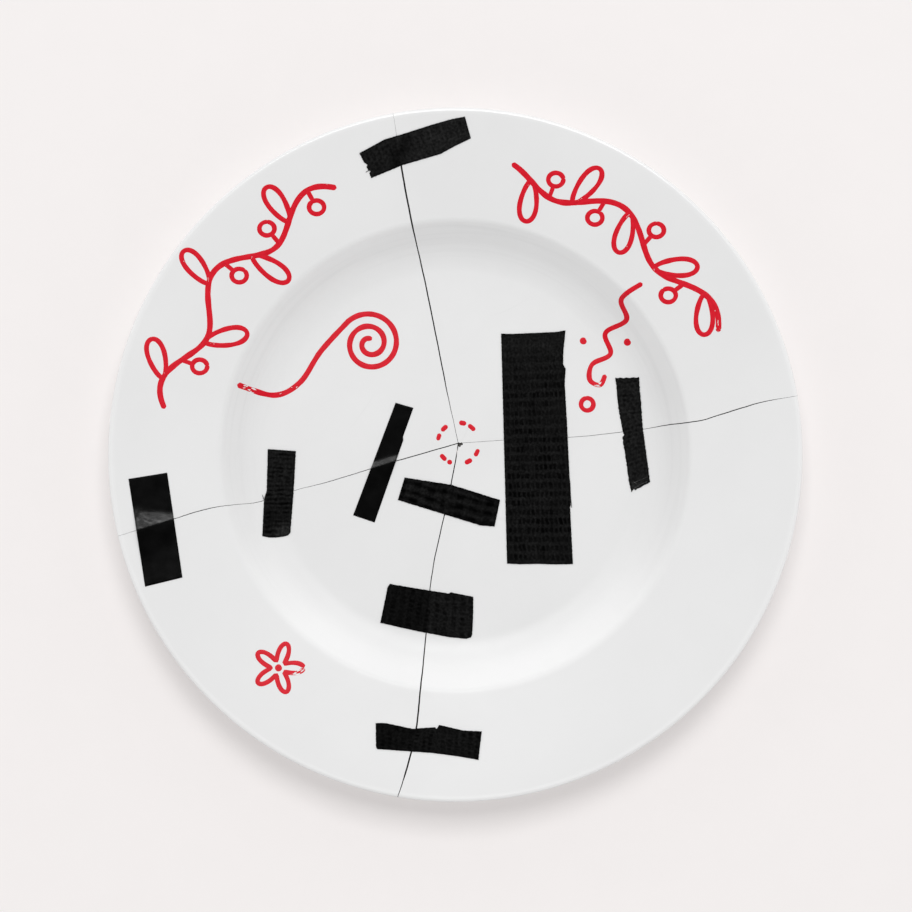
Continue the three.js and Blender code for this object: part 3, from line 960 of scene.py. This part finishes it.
VINYL_STRIPS = {
    "left_rim_tape": {
        "first": ((-125.6, -9.3), (-119.2, -50.7)),
        "second": ((-110.8, -6.9), (-104.9, -47.2)),
        "flank": (11.5, 3.4), "slope": (0.056, 0.068), "hollow": 0.10,
    },
    "slanted_tape": {
        "first": ((-23.1, 20.1), (-39.5, -23.4)),
        "second": ((-16.2, 18.1), (-20.2, 7.0), (-20.1, 5.6), (-31.2, -26.2)),
        "flank": (3.6, 3.2), "slope": (0.092, 0.096), "hollow": 0.0,
    },
}
for node, cut in VINYL_STRIPS.items():
    strip, plan, u, v, length, width = lay_flat_strip(
        node + "_vinyl", cut["first"], cut["second"], VINYL_GRID
    )
    above = -crack_distance(plan, "left")
    flank = np.interp(v / width, (0, 1), cut["flank"])
    upper = np.clip(1 - above / flank, 0, 1)
    eased = np.where(upper > 0.5, upper - 0.25, 4 * upper ** 3 - 4 * upper ** 4)
    lower = 0.75 * np.exp(-(above / (3 + 0.5 * flank)) ** 2)
    slope = np.interp(v / width, (0, 1), cut["slope"])
    crease = slope * flank * np.where(above > 0, eased, lower)
    dents = np.clip(noise_at(plan, 0.4, 7.0), 0, 1) * upper * (above > 0) * (1 - v / width)
    dents *= smooth_step(1, 0.8, upper)
    from_edge = np.minimum(np.minimum(u, length - u), np.minimum(v, width - v))
    lift = TAPE_SEAT + VINYL_THICKNESS + crease - cut["hollow"] * dents
    lift += 0.012 * noise_at(plan, 0.3, 8.0) - 0.02 * smooth_step(0.6, 0, from_edge)
    strip.data.materials.append(vinyl)
    press_down(strip, plan, lift, u, v, VINYL_THICKNESS - VINYL_STRETCH)
    declare_strip(strip, node, "left", length, width)

# Marker paint: a loose red garland drawn by hand on the glaze with a broad felt tip. The paint
# is a thin skin, a little thicker along the middle of each stroke, and runs dry in places.
PAINT_LIFT = 0.03
PAINT_SEAT = 0.02
PAINT_OVERLAP = 0.004
PAINT_SKIN = 0.015
PAINT_STEP = 0.5
BRISTLE_MARKS = (350, 1100, 1)
paint, shader, add, join = new_material("red_marker")
shader["Roughness"].default_value = 0.45
shader["Specular IOR Level"].default_value = 0.2
dry = add("ShaderNodeAttribute", attribute_name="dry")["Fac"]
marks = {0: add("ShaderNodeUVMap")["UV"], 1: BRISTLE_MARKS}
bristles = add(
    "ShaderNodeGroup",
    {
        "Place": add("ShaderNodeVectorMath", marks, operation="MULTIPLY")[0],
        "Scale": 1, "Detail": 3, "Low": 0.3, "High": 0.7,
        "Dark": (0.60, 0.002, 0.012, 1), "Light": (0.74, 0.006, 0.024, 1),
    },
    node_tree=mottle,
)
bare_spot = add("ShaderNodeMath", {0: bristles["Value"], 1: dry}, operation="LESS_THAN")[0]
join(blend(add, bare_spot, bristles["Colour"], GLAZE_LIGHT), shader["Base Color"])


def draw_stroke(line, width, seed):
    """One stroke of the felt tip along a line in plan, round at both ends."""
    line = np.asarray(line, float)
    far = lengths_along(line)
    count = max(24, round(far[-1] / PAINT_STEP))
    line = along_edge(line, np.linspace(0, 1, count + 1))
    across = sideways(line)
    far = np.linspace(0, far[-1], count + 1)
    bpy.ops.object.select_all(action="DESELECT")
    bpy.ops.mesh.primitive_grid_add(x_subdivisions=count, y_subdivisions=6, size=1)
    stroke = bpy.context.object
    flat = np.array([v.co for v in stroke.data.vertices])
    at = np.rint((flat[:, 0] + 0.5) * count).astype(int)
    half = width / 2
    tip = np.clip(np.minimum(far, far[-1] - far) / half, 0, 1)
    wide = half * np.sqrt(np.clip(1 - (1 - tip) ** 2, 0.02, 1))
    wide *= 1 + 0.16 * np.array([noise.noise((d * 0.25, seed, 2)) for d in far])
    side = flat[:, 1] * 2
    plan = line[at] + across[at] * (side * wide[at])[:, None]
    lift = PAINT_SEAT + PAINT_LIFT * (1 - side ** 2) + PAINT_OVERLAP * (seed % 5)
    spent = smooth_step(0.72, 1, far / far[-1]) * 0.16
    thin = np.array([noise.noise((d * 0.12, seed * 1.3, 6)) for d in far])
    thin = 0.22 + spent + 0.12 * thin
    keep_values(stroke, "dry", thin[at])
    press_down(stroke, plan, lift, far[at], side * half, PAINT_SKIN)
    stroke.data.materials.append(paint)
    return stroke


def join_strokes(name, strokes):
    """The strokes of one motif as one piece."""
    pick(strokes[0])
    for stroke in strokes[1:]:
        stroke.select_set(True)
    bpy.ops.object.join()
    strokes[0].name = name
    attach(strokes[0], "root")


def ring(middle, radius, start, turn, squash=1.0):
    """Points round a ring, which may overlap itself, from a bearing and through a turn."""
    a = np.radians(np.linspace(start, start + turn, 40))
    return np.array(middle) + radius * np.column_stack([np.cos(a), squash * np.sin(a)])


def leaf(foot, toward, length, width):
    """A leaf drawn as one loop that starts and ends at its foot."""
    share = np.linspace(0, 2 * math.pi, 48)
    along = length * 0.5 * (1 - np.cos(share))
    over = width * 0.5 * np.sin(share) * (0.55 + 0.45 * np.sin(share / 2) ** 2)
    run = np.array(polar(1, toward))
    return foot + np.outer(along, run) + np.outer(over, (-run[1], run[0]))


STEM_WIDTH = 2.2
STEM_STEPS = 119
LEAF_LENGTH = 15.5
LEAF_WIDTH = 8.0
LEAF_LINE = 1.9
STALK_LENGTH = 4.5
STALK_LINE = 1.7
BERRY_REACH = 7.4
BERRY_RADIUS = 2.9
BERRY_LINE = 1.8
GARLANDS = {
    "left_garland": {
        "from": 171, "to": 114, "radius": 111, "sway": 5.5, "waves": 2.4, "phase": 0.4,
        "leaves": ((0.10, 50), (0.27, -48), (0.45, 55), (0.62, -45), (0.80, 52)),
        "berries": ((0.18, -1), (0.54, -1), (0.72, 1), (0.91, -1)),
    },
    "right_garland": {
        "from": 79, "to": 25, "radius": 110, "sway": 5.0, "waves": 2.1, "phase": 2.2,
        "leaves": ((0.08, -50), (0.26, 48), (0.46, -52), (0.66, 46), (0.86, -50)),
        "berries": ((0.17, 1), (0.36, -1), (0.57, 1), (0.78, -1)),
    },
}
for name, garland in GARLANDS.items():
    share = np.linspace(0, 1, STEM_STEPS + 1)
    bearings = garland["from"] + (garland["to"] - garland["from"]) * share
    wave = np.sin(2 * math.pi * garland["waves"] * share + garland["phase"])
    radii = garland["radius"] + garland["sway"] * wave
    stem = np.array([polar(r, b) for r, b in zip(radii, bearings)])
    strokes = [draw_stroke(stem, STEM_WIDTH, 1)]
    for count, (at, swing) in enumerate(garland["leaves"]):
        knot = round(at * STEM_STEPS)
        run = stem[min(STEM_STEPS, knot + 2)] - stem[knot]
        toward = math.degrees(math.atan2(run[1], run[0])) + swing
        outline = leaf(stem[knot], toward, LEAF_LENGTH + count % 2, LEAF_WIDTH)
        strokes.append(draw_stroke(outline, LEAF_LINE, 10 + count))
    for count, (at, side) in enumerate(garland["berries"]):
        foot = Vector(stem[round(at * STEM_STEPS)])
        out = foot.normalized() * side
        stalk = [foot, foot + out * STALK_LENGTH]
        strokes.append(draw_stroke(stalk, STALK_LINE, 30 + count))
        berry = ring(foot + out * BERRY_REACH, BERRY_RADIUS, 40 * count, 375, 0.9)
        strokes.append(draw_stroke(berry, BERRY_LINE, 40 + count))
    join_strokes(name, strokes)

CURL_MIDDLE = Vector((-33, 43))
CURL_LINE = 2.1
turns = np.linspace(0, 1, 160)
spiral = np.array([
    CURL_MIDDLE + Vector((math.cos(a), math.sin(a))) * (1.5 + 10.5 * t)
    for t, a in zip(turns, math.radians(135) + (turns - 1) * 4.4 * math.pi)
])
tail = [spiral[-2], spiral[-1], (-52, 40), (-60, 28), (-70, 23), (-84, 27)]
tail = smooth_line(tail, 20)[20:]
join_strokes("curl", [draw_stroke(np.concatenate([spiral, tail[1:]]), CURL_LINE, 3)])

VINE_LINE = 1.9
DROP_LINE = 1.8
vine = [
    (72, 66), (64, 60), (66, 52), (58, 47), (60, 39), (53, 35), (52, 29), (56, 27), (58, 31)
]
drops = [((49.5, 44), 0.5, 0, 420), ((66.5, 43.5), 0.5, 0, 420), ((51, 19.5), 2.4, 90, 380)]
strokes = [draw_stroke(smooth_line(vine, 12), VINE_LINE, 4)]
strokes += [draw_stroke(ring(*drop), DROP_LINE, 5 + n) for n, drop in enumerate(drops)]
join_strokes("hanging_vine", strokes)

DASH_RADIUS = 8.0
DASH_LINE = 1.8
dashes = [(38, 24), (68, 20), (122, 22), (152, 20), (212, 22), (238, 14), (288, 22), (322, 22)]
join_strokes("dashed_ring", [
    draw_stroke(ring(JUNCTION, DASH_RADIUS, start, turn), DASH_LINE, 60 + n)
    for n, (start, turn) in enumerate(dashes)
])

FLOWER_MIDDLE = Vector((-68, -82))
PETAL_LINE = 1.8
EYE_RADIUS = 0.6
EYE_LINE = 1.6
petals = np.array([
    FLOWER_MIDDLE + Vector((math.cos(a), math.sin(a))) * (6.3 + 3.4 * math.cos(5 * a))
    for a in np.linspace(0, 2 * math.pi, 120)
])
eye = ring(FLOWER_MIDDLE, EYE_RADIUS, 0, 420)
join_strokes("flower", [draw_stroke(petals, PETAL_LINE, 7), draw_stroke(eye, EYE_LINE, 8)])

# The pale table that the plate lies on: a matt sheet of paper with a faint mottle, wide enough
# to fill every view. It glows a little of itself, as a white sweep does that is lit all round.
TABLE_SIZE = 8
bpy.ops.object.select_all(action="DESELECT")
bpy.ops.mesh.primitive_plane_add(size=TABLE_SIZE)
table = bpy.context.object
table.name = "table"
board, shader, add, join = new_material("pale_table")
shader["Roughness"].default_value = 0.9
shader["Specular IOR Level"].default_value = 0.1
shader["Emission Color"].default_value = (0.90, 0.865, 0.858, 1)
shader["Emission Strength"].default_value = 0.414
paper = add(
    "ShaderNodeGroup",
    {
        "Place": add("ShaderNodeTexCoord")["Object"],
        "Scale": 60, "Detail": 4, "Low": 0.0, "High": 1.0,
        "Dark": (0.535, 0.517, 0.512, 1), "Light": (0.555, 0.535, 0.530, 1),
    },
    node_tree=mottle,
)
join(paper["Colour"], shader["Base Color"])
table.data.materials.append(board)

# Studio light: a pale tent all round that is dark straight overhead, where the camera stands,
# and one large square soft box high up, a little beyond the far side of the plate.
TENT = ((0.0, 0.75), (0.25, 0.95), (0.45, 1.15), (0.62, 0.85), (0.76, 0.45), (0.93, 0.02))
TENT_STRENGTH = 0.80
world = bpy.data.worlds.new("tent")
bpy.context.scene.world = world
world.use_nodes = True
sky = world.node_tree.nodes["Background"].inputs
add, join = short_ways(world.node_tree)
towards = add("ShaderNodeSeparateXYZ", {"Vector": add("ShaderNodeTexCoord")["Generated"]})
dim = world.node_tree.nodes.new("ShaderNodeValToRGB")
stops = dim.color_ramp.elements
for count, (height, strength) in enumerate(TENT):
    stop = stops[count] if count < 2 else stops.new(height)
    stop.position = height
    stop.color = grey(strength)
join(towards["Z"], dim.inputs["Fac"])
join(dim.outputs["Color"], sky["Color"])
sky["Strength"].default_value = TENT_STRENGTH

KEY_PLACE = (0.14, 1.70, 4.01)
KEY_WIDTH = 1.9
KEY_WATTS = 111
key_data = bpy.data.lights.new("key", "AREA")
key_data.size = KEY_WIDTH
key_data.energy = KEY_WATTS
key = bpy.data.objects.new("key", key_data)
bpy.context.scene.collection.objects.link(key)
key.location = KEY_PLACE
key.rotation_euler = (-Vector(KEY_PLACE)).to_track_quat("-Z", "Y").to_euler()
key.visible_camera = False

# The camera looks straight down from far off, through a long lens that keeps the rim round and
# hides the side of the plate, which stands in the middle of its view.
CAMERA_PLACE = (0.27 * MM, -0.5 * MM, 2.5)
CAMERA_LENS = 254.5
CAMERA_SENSOR = 36
camera_data = bpy.data.cameras.new("camera")
camera_data.sensor_width = CAMERA_SENSOR
camera_data.lens = CAMERA_LENS
camera = bpy.data.objects.new("camera", camera_data)
bpy.context.scene.collection.objects.link(camera)
camera.location = CAMERA_PLACE
bpy.context.scene.camera = camera
bpy.context.scene.view_settings.view_transform = "Standard"
